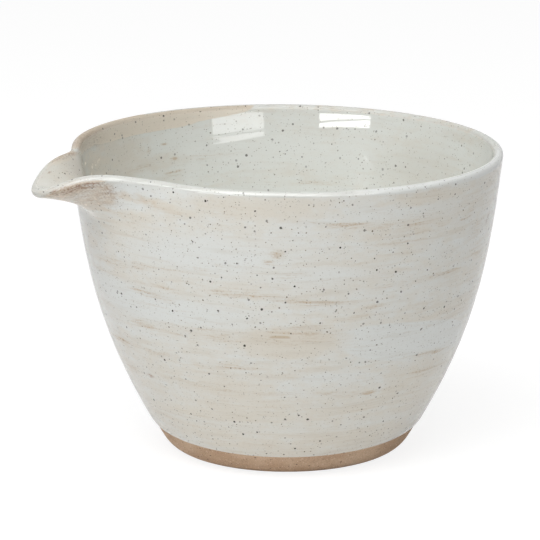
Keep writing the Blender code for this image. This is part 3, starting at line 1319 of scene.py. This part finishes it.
OUTER_STROKES = (
    *stroke_list(
        StrokeKind.SLIP,
        (107.0, 66.0, 27.0, 9.5, 1.25, -0.20, 0.12, 1.3),
        (79.0, 46.5, 18.0, 8.4, 1.15, 0.0, 0.12, 1.3),
        (20.0, 83.0, 33.0, 8.5, 0.9, 0.0, 0.6),
        (23.5, 135.0, 8.5, 4.0, 1.0, -0.25, 0.25),
        (16.0, 127.6, 9.0, 1.8, 1.0, 0.2),
        (72.0, 128.9, 16.0, 1.8, 0.9),
        (90.0, 131.0, 22.0, 5.0, 0.6, -0.1, 0.6),
        # Slip along the near-right lip keeps the lip's grey off it: a painted sheen that leaves that stretch
        # pale
        (119.0, 140.6, 36.0, 2.4, 1.2, 0.0, 0.3, 1.5),
        (42.0, 110.0, 26.0, 9.0, 0.8, 0.0, 0.7),
        (70.0, 103.0, 16.0, 5.0, 0.7, 0.0, 0.7),
        (63.0, 27.0, 60.0, 3.0, 0.5),
    ),
    *stroke_list(
        StrokeKind.GROUND,
        (57.0, 134.0, 22.0, 6.5, 0.95, 0.02, 0.9),
        (34.0, 130.2, 10.0, 2.6, 0.9, -0.20, 0.8),
        (20.0, 123.4, 11.0, 3.2, 0.8, 0.10, 0.9),
        (63.0, 36.0, 80.0, 17.0, 0.6, 0.0, 0.7),
        (64.0, 71.0, 17.0, 8.5, 1.0, 0.0, 0.5),
        (46.0, 46.0, 14.0, 9.0, 0.8, 0.0, 0.5),
        (115.0, 48.0, 16.0, 10.0, 0.7, 0.0, 0.6),
        (110.0, 100.0, 18.0, 13.0, 0.5, 0.0, 0.7),
        (86.0, 121.5, 16.0, 4.5, 0.6),
        (106.0, 135.0, 20.0, 3.6, 0.8, 0.0, 0.6),
        (-4.0, 105.0, 5.0, 3.0, 0.8),
    ),
    *stroke_list(
        StrokeKind.WASH,
        (4.5, 133.5, 10.6, 8.4, 0.58, 0.0, 0.35, 1.4),
        (21.0, 132.6, 11.0, 2.6, 0.56, -0.12, 0.8),
        (5.0, 127.5, 8.5, 4.5, 0.52, 0.0, 0.5, 1.3),
        (8.0, 140.1, 6.0, 0.7, 0.8, 0.0, 0.3),
        (-58.0, 140.6, 14.0, 2.2, 0.9, 0.0, 0.2, 1.5),
        (-34.0, 140.6, 15.0, 2.6, 0.8, 0.0, 0.2, 1.5),
        (-13.0, 140.9, 6.0, 2.2, 0.6, 0.0, 0.4, 1.5),
        (-152.0, 140.6, 44.0, 1.8, 0.36, 0.0, 0.5, 1.5),
    ),
    *stroke_list(
        StrokeKind.TAN,
        (33.0, 128.8, 9.0, 1.6, 0.5, -0.20),
        (18.0, 122.5, 8.0, 2.4, 0.35),
        (13.0, 100.2, 18.0, 1.6, 0.65, 0.10),
        (-4.0, 92.8, 7.0, 1.4, 0.6),
        (25.0, 93.2, 7.0, 1.4, 0.45),
        (22.0, 88.2, 7.0, 2.0, 0.45, -0.2),
        (29.0, 86.8, 2.4, 1.2, 0.7),
        (0.0, 69.6, 5.0, 1.4, 0.6),
        (17.0, 72.6, 6.0, 1.6, 0.75),
        (36.0, 73.0, 13.0, 2.6, 0.55, -0.05),
        (3.0, 59.8, 11.0, 1.6, 0.75, 0.04),
        (23.0, 59.2, 8.0, 1.8, 0.75),
        (41.0, 58.4, 12.0, 1.2, 0.6),
        (-1.0, 44.9, 5.0, 1.6, 0.6, 0.1),
        (31.0, 46.6, 14.0, 1.0, 0.5),
        (44.6, 95.1, 1.9, 1.0, 0.6),
        (53.0, 93.6, 9.0, 1.4, 0.75),
        (73.0, 90.8, 12.0, 1.5, 0.8, -0.10),
        (59.1, 109.8, 1.9, 1.1, 0.85),
        (61.6, 112.9, 2.0, 2.2, 0.8),
        (67.0, 104.0, 5.0, 0.9, 0.5),
        (81.0, 125.8, 13.0, 1.5, 0.6, -0.12),
        (102.0, 124.4, 7.0, 1.5, 0.6),
        (96.0, 119.0, 12.0, 4.0, 0.35),
        (97.0, 96.0, 9.0, 1.4, 0.6, 0.05),
        (113.0, 97.0, 8.0, 1.7, 0.75),
        (88.0, 86.6, 3.6, 1.2, 0.55, 0.3),
        (85.1, 83.6, 2.4, 1.0, 0.6),
        (66.0, 74.6, 14.0, 4.5, 0.6),
        (62.0, 74.2, 5.0, 1.3, 0.85),
        (70.0, 57.4, 6.0, 1.1, 0.6),
        (83.0, 43.9, 10.0, 1.5, 0.6, -0.09),
        (92.0, 43.2, 3.6, 1.2, 0.9),
        (113.0, 52.0, 14.0, 5.0, 0.4),
        (117.0, 57.0, 12.0, 1.3, 0.6, -0.1),
        (120.0, 121.0, 3.4, 3.0, 0.6, 0.5),
        (126.0, 113.0, 4.5, 4.5, 0.55, 0.3),
        (128.5, 104.0, 5.0, 4.0, 0.5),
    ),
    *stroke_list(
        StrokeKind.RUST,
        (8.4, 138.6, 4.4, 1.7, 1.3, 0.0, 0.6),
        (5.4, 140.5, 2.0, 0.7, 0.9, 0.0, 0.4),
        (7.5, 134.0, 7.5, 7.0, 0.40, 0.0, 0.6),
        (13.0, 134.6, 2.0, 5.0, 0.7, 0.0, 0.7),
        (134.6, 116.0, 1.6, 1.6, 0.8, 1.2),
        (12.3, 45.8, 1.7, 0.9, 0.9),
        (-34.0, 140.8, 13.0, 2.4, 0.4, 0.0, 0.3, 1.5),
        (-13.0, 141.0, 5.0, 1.8, 0.4),
    ),
    *wandering_strokes(11, 34, (160.0, 236.0), 30.0),
    *wandering_strokes(12, 26, (-108.0, -30.0), 30.0),
)

LINER_STROKES = (
    *stroke_list(
        StrokeKind.GROUND,
        (-52.0, 124.0, 18.0, 15.0, 0.9, 0.0, 0.6),
        (-72.0, 118.0, 12.0, 5.0, 0.6),
        (-180.0, 136.5, 12.0, 2.8, 0.5, 0.0, 0.8),
        (-14.0, 127.0, 12.0, 15.0, 0.8, 0.0, 0.6),
    ),
    *stroke_list(
        StrokeKind.WASH,
        (-67.0, 139.0, 24.0, 6.0, 0.85, 0.0, 0.07, 2.0),
        (-92.0, 141.5, 15.0, 6.0, 0.85, -0.17, 0.06, 2.0),
        (-35.0, 141.0, 15.0, 6.4, 0.95, 0.13, 0.38, 1.8),
        (-38.0, 126.0, 16.0, 14.0, 0.52, 0.0, 0.8),
        (-13.0, 139.8, 6.0, 2.2, 0.6),
        (-152.0, 140.4, 44.0, 1.6, 0.36, 0.0, 0.5, 1.5),
    ),
    *stroke_list(
        StrokeKind.TAN,
        (-77.2, 126.4, 1.4, 0.7, 0.9),
        (-71.2, 125.2, 0.7, 1.5, 0.8, -1.2),
        (-80.5, 119.0, 1.4, 1.0, 0.9),
        (-79.5, 112.6, 3.2, 1.3, 0.7),
        (-92.0, 118.5, 9.0, 1.6, 0.4),
        (-120.0, 104.6, 14.0, 1.2, 0.35),
        (-66.0, 117.0, 8.0, 1.5, 0.35, -0.3),
    ),
    *stroke_list(
        StrokeKind.RUST,
        (-36.0, 140.6, 14.0, 6.4, 0.32, 0.13, 0.4, 1.8),
        (-13.5, 140.2, 3.6, 1.2, 0.6),
        (-6.6, 138.4, 0.35, 0.35, 0.7),
    ),
    # Painted shade: darkens the inside of the spout and the lower right of the inside wall
    *stroke_list(
        StrokeKind.PAINTED_SHADE,
        (-7.0, 133.0, 12.0, 10.0, 0.45, 0.0, 0.6, 1.3),
        (-163.0, 114.0, 16.0, 13.0, 0.30, 0.0, 0.8),
    ),
    *wandering_strokes(13, 14, (-286.0, -214.0), 40.0),
    *wandering_strokes(14, 10, (-10.0, 54.0), 40.0),
)


@dataclass
class BowlPiece:
    """A turned piece of the bowl: how its mesh is skinned and how it joins the frame.

    Attributes:
        form: The form that all pieces share.
        finish: The piece's finish.
        sharp_angle: Angle at which an edge stays sharp, in degrees.
        merge_distance: Distance under which points at the axis are one, in metres.
    """

    form: ThrownForm
    finish: StonewareFinish | GlazeFinish
    sharp_angle: float = 50.0
    merge_distance: float = 1e-6

    def skin(
        self, name: str, section: np.ndarray, closed: bool, marks: Marks | None = None
    ) -> bpy.types.Object:
        """Skins a section that is given at each turn.

        Args:
            name: Name of the piece.
            section: Radius and height of each point, by turn and by place along the outline.
            closed: Whether the outline is a loop, clear of the axis.
            marks: Numbers to mark on the mesh's points, by name.

        Returns:
            The new object.
        """
        points = self.form.pulled(section, self.form.turns())
        rows, columns = section.shape[:2]
        steps = columns if closed else columns - 1
        row, column = (axis.ravel() for axis in np.meshgrid(np.arange(rows), np.arange(steps), indexing="ij"))
        beside, above = (row + 1) % rows, (column + 1) % columns
        corners = [(row, column), (beside, column), (beside, above), (row, above)]
        faces = np.stack([turn * columns + place for turn, place in corners], axis=1)

        mesh = bpy.data.meshes.new(name)
        mesh.from_pydata(points.reshape(-1, 3).tolist(), [], faces.tolist())
        for mark, values in (marks or {}).items():
            layer = mesh.attributes.new(mark, "FLOAT", "POINT")
            layer.data.foreach_set("value", values.astype(np.float32).ravel())

        shape = bmesh.new()
        shape.from_mesh(mesh)
        bmesh.ops.remove_doubles(shape, verts=shape.verts, dist=self.merge_distance)
        bmesh.ops.recalc_face_normals(shape, faces=shape.faces)
        shape.to_mesh(mesh)
        shape.free()
        mesh.shade_smooth()
        mesh.set_sharp_from_angle(angle=math.radians(self.sharp_angle))
        return placed(name, mesh)

    def join_frame(self, piece: bpy.types.Object, node: str) -> None:
        """Dresses a piece and puts it in its node's place on the frame.

        Args:
            piece: The piece.
            node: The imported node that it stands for.
        """
        piece.data.materials.append(self.finish.material())
        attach(piece, BODY)
        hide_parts(node)
        LOG.info("%s: %d faces, stands for %s", piece.name, len(piece.data.polygons), node)


@dataclass
class ClayBody(BowlPiece):
    """The fired clay: floor, wall, lip, spout and bare foot."""

    finish: StonewareFinish = StonewareFinish()

    def build(self) -> None:
        """Builds the clay and dresses it."""
        middle_of_base = [0.0, 0.0]
        outline = np.vstack([self.form.outline(), middle_of_base])
        section = np.repeat(outline[None, :, :], self.form.turn_steps, axis=0)
        self.join_frame(self.skin("fired_clay", section, closed=False), "clay_body")


@dataclass
class GlazeCoat(BowlPiece):
    """What both coats of glaze share: depth over the clay, and the rings that throwing leaves.

    Attributes:
        bond: Depth of the hidden side over the clay, in metres.
        hidden_step: How many points of the outline the hidden side passes over at each step.
        ring_depth: Depth of the throwing rings, in metres.
        ring_rise: Rise of the rings from one to the next, in metres.
        ring_sets: Share of that rise, waves around the bowl and start, in radians, of each set of rings.
        rim_thinning: How much thinner the coats are where they meet at the lip, in metres.
        rim_band: Height under the lip over which the inside coat thins, in metres.
    """

    bond: float = 0.00005
    hidden_step: int = 3
    ring_depth: float = 0.00003
    ring_rise: float = 0.0095
    ring_sets: tuple[tuple[float, int, float], ...] = ((1.0, 1, 0.0), (1.7, -2, 1.1), (3.1, 3, 0.4))
    rim_thinning: float = 0.00005
    rim_band: float = 0.0017

    def rings(self, path: np.ndarray) -> np.ndarray:
        """Works out the throwing rings along a path at every turn.

        Args:
            path: Points of the clay's outline.

        Returns:
            Height of the surface over its plain depth, by turn and by point.
        """
        turns = np.radians(self.form.turns())[:, None]
        along = lengths_along(path)[None, :]
        rings = sum(
            np.sin(2 * math.pi * along / (share * self.ring_rise) + waves * turns + start)
            for share, waves, start in self.ring_sets
        )
        fade = smooth_step(np.minimum(along, along[0, -1] - along), 0.0, 2 * self.ring_rise)
        return self.ring_depth * fade * rings / 2

    def coated(self, span: slice, depth: np.ndarray) -> np.ndarray:
        """Lays a coat on a stretch of the clay's outline at every turn.

        Args:
            span: The stretch of the outline, by its points.
            depth: Depth of the coat, by turn and by point.

        Returns:
            Radius and height of the coat's skin, by turn and by point.
        """
        outline = self.form.outline()
        return outline[None, span, :] + depth[..., None] * path_normals(outline)[None, span, :]

    def glazed(
        self, name: str, span: slice, depth: np.ndarray, strokes: Strokes, lap_strokes: Strokes = ()
    ) -> bpy.types.Object:
        """Skins a coat and marks its strokes on it.

        Args:
            name: Name of the piece.
            span: The stretch of the clay's outline that it covers, by its points.
            depth: Depth of the coat, by turn and by point.
            strokes: Strokes of the brush that stand out.
            lap_strokes: Strokes that lap over from the other coat, up to where the lip turns outward.

        Returns:
            The new object.
        """
        path = self.form.outline()[span]
        shown = self.coated(span, depth)
        kept = np.unique(np.append(np.arange(0, len(path), self.hidden_step), len(path) - 1))[::-1]
        hidden = self.coated(span, np.minimum(depth, self.bond) - self.bond / 2)[:, kept]
        section = np.concatenate([shown, hidden], axis=1)
        section[..., 0] = np.maximum(section[..., 0], 0.0)
        along = lengths_along(path)
        along = np.concatenate([along, along[kept]]) * PER_METRE
        heights = section[..., 1] * PER_METRE
        turns = self.form.turns()[:, None]
        marks = laid_strokes(strokes, turns, heights)
        if lap_strokes:
            for kind, laid in laid_strokes(lap_strokes, turns, heights).items():
                marks[kind] = np.where(along < LIP_TURNS, laid, marks[kind])
        marks[ALONG_WALL] = np.broadcast_to(along, heights.shape)
        marks[THROWN_HEIGHT] = heights
        return self.skin(name, section, path[0, 0] > self.merge_distance, marks)


@dataclass
class OuterGlaze(GlazeCoat):
    """The coat on the outside, from the lip's inner edge down to the bare foot.

    Attributes:
        edge_depth: Depth of the bead at the glaze line, in metres.
        edge_slope: Rise of the coat's depth over the glaze line, for each metre up the wall.
        edge_taper: Length over which the coat reaches its full depth, in metres.
        line_wave: Half of how far the glaze line rises from its lowest to its highest turn, in metres.
        line_turn: Turn at which the glaze line is lowest, in degrees.
        lap: Length over which the coat's slope at the lip's inner edge eases off, in metres.
    """

    finish: GlazeFinish = GlazeFinish(Slot.OUTER)
    edge_depth: float = 0.0004
    edge_slope: float = 0.4
    edge_taper: float = 0.004
    line_wave: float = 0.0011
    line_turn: float = 63.85
    lap: float = 0.0004

    def glaze_line(self) -> np.ndarray:
        """Works out the glaze line's height at every turn. It is wiped by hand and waves twice around."""
        turns = np.radians(self.form.turns() - self.line_turn)
        return self.form.bare_foot_height + self.line_wave * (1.0 - np.cos(2 * turns))

    def lip_thinning(self, path: np.ndarray) -> np.ndarray:
        """Works out how much thinner the coat is over the lip, to carry on the inside coat's slope.

        Args:
            path: Points of the clay's outline, from the lip's inner edge on.

        Returns:
            What comes off the coat's depth, by point.
        """
        along = lengths_along(path)
        slope = 2 * self.rim_thinning / self.rim_band
        carried = slope * self.lap * (1.0 - np.exp(-along / self.lap))
        past_lip = smooth_step(along, self.lap, math.pi * self.form.lip_radius)
        return (self.rim_thinning + carried) * (1.0 - past_lip)

    def build(self) -> None:
        """Builds the outside coat and dresses it."""
        form = self.form
        outline = form.outline()
        first = len(form.inner_wall()) - 1
        bare = np.count_nonzero(form.outer_wall()[:, 1] < form.bare_foot_height - self.merge_distance)
        span = slice(first, len(outline) - bare)
        path = outline[span]
        rise = path[None, :, 1] - self.glaze_line()[:, None]
        bead = self.edge_depth + (form.coat - self.edge_depth) * smooth_step(rise, 0.0, self.edge_taper)
        depth = np.clip(self.edge_slope * rise, -self.edge_depth, bead) + self.rings(path)
        depth -= self.lip_thinning(path)
        piece = self.glazed("outside_glaze", span, depth, OUTER_STROKES, LINER_STROKES)
        self.join_frame(piece, "outer_glaze")


@dataclass
class LinerGlaze(GlazeCoat):
    """The coat on the inside, from the middle of the floor up to the lip.

    The potter's rib leaves a shoulder under the lip, below which the wall leans in a little more, and a
    groove above the shoulder. Gloss shows them as the edge of a highlight and a dark line through it.

    Attributes:
        shoulder_height: Mean height of the shoulder, in metres.
        shoulder_sway: How far the shoulder rises and falls around the bowl, in metres.
        shoulder_turn: Turn at which the shoulder falls through its mean height, in degrees.
        shoulder_steepness: How steeply it falls there.
        shoulder_lean: Extra lean of the wall under the shoulder, in degrees.
        shoulder_round: Length over which the shoulder rounds, in metres.
        shoulder_fade: Length over which the wall comes back to its plain line, in metres.
        groove_rise: Height of the groove over the shoulder, in metres.
        groove_depth: Depth of the groove, in metres.
        groove_width: Half breadth of the groove, in metres.
        groove_waves: Height in metres, number around the bowl and start, in radians, of the groove's waves.
    """

    # The lip is the outside coat's, so here it starts above the top of the wall
    finish: GlazeFinish = GlazeFinish(
        Slot.LINER,
        slip="D9DBD6",
        lip_from=150.0,
        # Its wash is lighter than the outside's, as painted light on the shaded inside wall
        wash="DAD0C0",
        ground_level=0.05,
        warm_below=20.0,
        stray_strength=0.0,
        sandiness=0.08,
        speck_strength=0.75,
    )
    ring_depth: float = 0.00001
    shoulder_height: float = 0.1281
    shoulder_sway: float = 0.0054
    shoulder_turn: float = -117.0
    shoulder_steepness: float = 3.0
    shoulder_lean: float = 1.5
    shoulder_round: float = 0.0006
    shoulder_fade: float = 0.040
    groove_rise: float = 0.0038
    groove_depth: float = 0.00002
    groove_width: float = 0.0005
    groove_waves: tuple[tuple[float, int, float], ...] = ((0.0002, 11, 0.0), (0.0001, 29, 1.0))

    def ribbed(self, path: np.ndarray) -> np.ndarray:
        """Works out the shoulder, the groove and the thinning at the lip along a path at every turn.

        Args:
            path: Points of the clay's outline.

        Returns:
            Height of the surface over its plain depth, by turn and by point.
        """
        heights = path[None, :, 1]
        turns = np.radians(self.form.turns() - self.shoulder_turn)[:, None]
        sway = np.tanh(self.shoulder_steepness * np.sin(turns))
        shoulder = self.shoulder_height - self.shoulder_sway * sway
        below = shoulder - heights
        below = (below + np.sqrt(below**2 + self.shoulder_round**2)) / 2
        lean = math.tan(math.radians(self.shoulder_lean)) * below
        lean *= np.exp(-((below / self.shoulder_fade) ** 2))
        groove_rise = self.groove_rise
        for size, waves, start in self.groove_waves:
            groove_rise = groove_rise + size * np.sin(waves * turns + start)
        groove = self.groove_depth * np.exp(-(((heights - shoulder - groove_rise) / self.groove_width) ** 2))
        near_rim = np.maximum(1.0 - (path[-1, 1] - heights) / self.rim_band, 0.0)
        return lean - groove - self.rim_thinning * near_rim**2

    def build(self) -> None:
        """Builds the inside coat and dresses it."""
        path = self.form.inner_wall()
        depth = self.form.coat + self.rings(path) + self.ribbed(path)
        piece = self.glazed("inside_glaze", slice(len(path)), depth, LINER_STROKES)
        self.join_frame(piece, "liner_glaze")


def direction(azimuth: float, elevation: float) -> Vector:
    """Finds the direction from the bowl toward a place around it.

    Args:
        azimuth: Degrees around, where 0 is toward -Y and 90 toward +X.
        elevation: Degrees above the table.

    Returns:
        The unit vector.
    """
    around, up = math.radians(azimuth), math.radians(elevation)
    return Vector((math.sin(around) * math.cos(up), -math.cos(around) * math.cos(up), math.sin(up)))


@dataclass(frozen=True)
class Softbox:
    """A soft lamp that faces the bowl.

    Attributes:
        name: Name of the lamp.
        azimuth: Direction from the bowl, in degrees: 0 is toward -Y and 90 toward +X.
        elevation: Angle above the table, in degrees.
        distance: Distance from the bowl, in metres.
        width: Width, in metres.
        tall: Height, in metres.
        radiance: Brightness of its face, where 1 is white.
        only_gloss: Whether it shows only as a highlight in the gloss.
    """

    name: str
    azimuth: float
    elevation: float
    distance: float
    width: float
    tall: float
    radiance: float
    only_gloss: bool = False

    def light(self, target: Vector) -> None:
        """Adds the lamp, turned to a target.

        Args:
            target: The point that it faces.
        """
        lamp = bpy.data.lights.new(self.name, "AREA")
        lamp.shape = "RECTANGLE"
        lamp.size = self.width
        lamp.size_y = self.tall
        lamp.energy = self.radiance * math.pi * self.width * self.tall
        lit = placed(self.name, lamp)
        back = direction(self.azimuth, self.elevation)
        lit.location = target + back * self.distance
        lit.rotation_euler = (-back).to_track_quat("-Z", "Y").to_euler()
        lit.visible_camera = False
        lit.visible_diffuse = not self.only_gloss


@dataclass
class Studio:
    """The white floor, the soft light and the camera, which stands where the photograph was taken.

    Attributes:
        azimuth: Direction of the camera from the bowl, in degrees: 0 is toward -Y and 90 toward +X.
        elevation: Angle of the camera above the table, in degrees.
        distance: Distance of the camera from the target, in metres.
        lens: Focal length, in millimetres.
        sensor: Width of the sensor, in millimetres.
        nearest: Nearest distance that the camera sees, in metres.
        target: The point that camera and lamps stand around.
        aim_right: How far right of the target the camera aims, in metres.
        aim_up: How far above the target the camera aims, in metres.
        floor_radius: Radius of the round floor, in metres.
        floor_sides: Number of sides of the floor's edge.
        floor_gap: How far the floor lies under the bowl's foot, in metres.
        sky: Strength of the light from all around.
        floor_bounce: Lightness of the floor for the light that it throws back.
        floor_shade: Lightness of the floor where the camera sees light and shadow on it.
        floor_white: Brightness that is added to that.
        mirrored: Brightness of the surroundings in the gloss, as a share of what the camera sees.
    """

    azimuth: float = -26.15
    elevation: float = 14.73
    distance: float = 1.8
    lens: float = 256.9
    sensor: float = 36.0
    nearest: float = 0.01
    target: Vector = Vector((0.0, 0.0, 0.060))
    aim_right: float = -0.00765
    aim_up: float = 0.0226
    floor_radius: float = 4.0
    floor_sides: int = 96
    floor_gap: float = 0.0001
    sky: float = 0.26
    floor_bounce: float = 0.95
    floor_shade: float = 0.22
    floor_white: float = 0.86
    mirrored: float = 0.72

    def camera(self) -> None:
        """Sets the camera up at the photograph's viewing angle."""
        back = direction(self.azimuth, self.elevation)
        right = Vector((0.0, 0.0, 1.0)).cross(back).normalized()
        up = back.cross(right)
        stand = self.target + back * self.distance
        aim = self.target + right * self.aim_right + up * self.aim_up
        view = bpy.data.cameras.new("camera")
        view.sensor_width = self.sensor
        view.lens = self.lens
        view.clip_start = self.nearest
        camera = placed("camera", view)
        camera.location = stand
        camera.rotation_euler = (aim - stand).to_track_quat("-Z", "Y").to_euler()
        bpy.context.scene.camera = camera

    def softboxes(self) -> tuple[Softbox, ...]:
        """Chooses the lamps: two soft ones, and three strips that only the gloss shows.

        Returns:
            The lamps.
        """
        here = self.azimuth
        soft = {"width": 1.2, "tall": 1.2}
        window = {"elevation": 4.9, "distance": 1.7, "width": 0.93, "tall": 0.255, "only_gloss": True}
        strip = {"elevation": 38.0, "distance": 1.7, "width": 5.2, "tall": 0.20, "only_gloss": True}
        return (
            Softbox("front_softbox", here - 40.0, elevation=50.0, distance=1.7, radiance=2.10, **soft),
            Softbox("overhead_softbox", here - 10.0, elevation=65.0, distance=1.6, radiance=4.14, **soft),
            Softbox("left_strip", here - 34.5, radiance=11.0, **window),
            Softbox("right_strip", here + 29.0, radiance=4.4, **window),
            Softbox("lip_strip", here - 12.0, radiance=15.0, **strip),
        )

    def brightness(self, sketch: NodeSketch, level: float) -> Socket:
        """Works out how bright the white surroundings look, which is a little less in the gloss.

        Args:
            sketch: Nodes of the world or the floor.
            level: Brightness to the camera and through glass.

        Returns:
            The brightness's socket.
        """
        in_gloss = sketch.add("ShaderNodeLightPath").outputs["Is Glossy Ray"]
        return sketch.times_plus(in_gloss, level * (self.mirrored - 1.0), level)

    def show(self, sketch: NodeSketch, lighting: Socket, seen: Socket, output: str) -> None:
        """Shows one shader to camera, mirror and glass rays, and another to the rays that carry light.

        Args:
            sketch: Nodes of the world or the floor.
            lighting: The shader that gives light.
            seen: The shader that is seen.
            output: Name of the output node.
        """
        path = sketch.add("ShaderNodeLightPath")
        direct = path.outputs["Is Camera Ray"]
        for name in ("Is Glossy Ray", "Is Transmission Ray"):
            direct = sketch.larger(direct, path.outputs[name])
        choice = sketch.add("ShaderNodeMixShader")
        for socket, value in zip(choice.inputs, (direct, lighting, seen)):
            sketch.feed(socket, value)
        sketch.feed(sketch.tree.nodes[output].inputs["Surface"], choice.outputs[0])

    def world(self) -> None:
        """Makes the even white surroundings."""
        sketch = NodeSketch(bpy.data.worlds.new("white_room"))
        room = sketch.tree.nodes["Background"]
        white = sketch.add("ShaderNodeBackground")
        for background, strength in ((room, self.sky), (white, self.brightness(sketch, 1.0))):
            sketch.feed(background.inputs["Color"], grey(1.0))
            sketch.feed(background.inputs["Strength"], strength)
        self.show(sketch, room.outputs[0], white.outputs[0], "World Output")
        bpy.context.scene.world = sketch.owner

    def floor_material(self) -> bpy.types.Material:
        """Makes the pale floor, which is white where it is seen and keeps the bowl's shadow.

        Returns:
            The material.
        """
        sketch = NodeSketch(bpy.data.materials.new("pale_floor"))
        sketch.tree.nodes.remove(sketch.shader)
        bounce = sketch.add("ShaderNodeBsdfDiffuse")
        sketch.feed(bounce.inputs["Color"], grey(self.floor_bounce))
        shade = sketch.add("ShaderNodeBsdfDiffuse")
        sketch.feed(shade.inputs["Color"], grey(self.floor_shade))
        glow = sketch.add("ShaderNodeEmission")
        sketch.feed(glow.inputs["Strength"], self.brightness(sketch, self.floor_white))
        seen = sketch.add("ShaderNodeAddShader")
        for socket, part in zip(seen.inputs, (shade, glow)):
            sketch.feed(socket, part.outputs[0])
        self.show(sketch, bounce.outputs[0], seen.outputs[0], "Material Output")
        return sketch.owner

    def floor(self) -> None:
        """Lays the floor under the bowl."""
        shape = bmesh.new()
        bmesh.ops.create_circle(shape, cap_ends=True, radius=self.floor_radius, segments=self.floor_sides)
        mesh = bpy.data.meshes.new("floor")
        shape.to_mesh(mesh)
        shape.free()
        mesh.materials.append(self.floor_material())
        floor = placed("floor", mesh)
        floor.location.z = -self.floor_gap

    def build(self) -> None:
        """Sets up the whole studio."""
        self.camera()
        self.floor()
        self.world()
        lamps = self.softboxes()
        for lamp in lamps:
            lamp.light(self.target)
        bpy.context.scene.view_settings.view_transform = "Standard"
        LOG.info("studio: %d lamps and a white floor", len(lamps))


def main() -> None:
    """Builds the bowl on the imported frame, dresses it and sets it in the studio."""
    logging.basicConfig(level=logging.INFO, format="%(name)s: %(message)s")
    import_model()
    Studio().build()
    form = ThrownForm()
    for piece in (ClayBody(form), OuterGlaze(form), LinerGlaze(form)):
        piece.build()


if __name__ == "__main__":
    main()
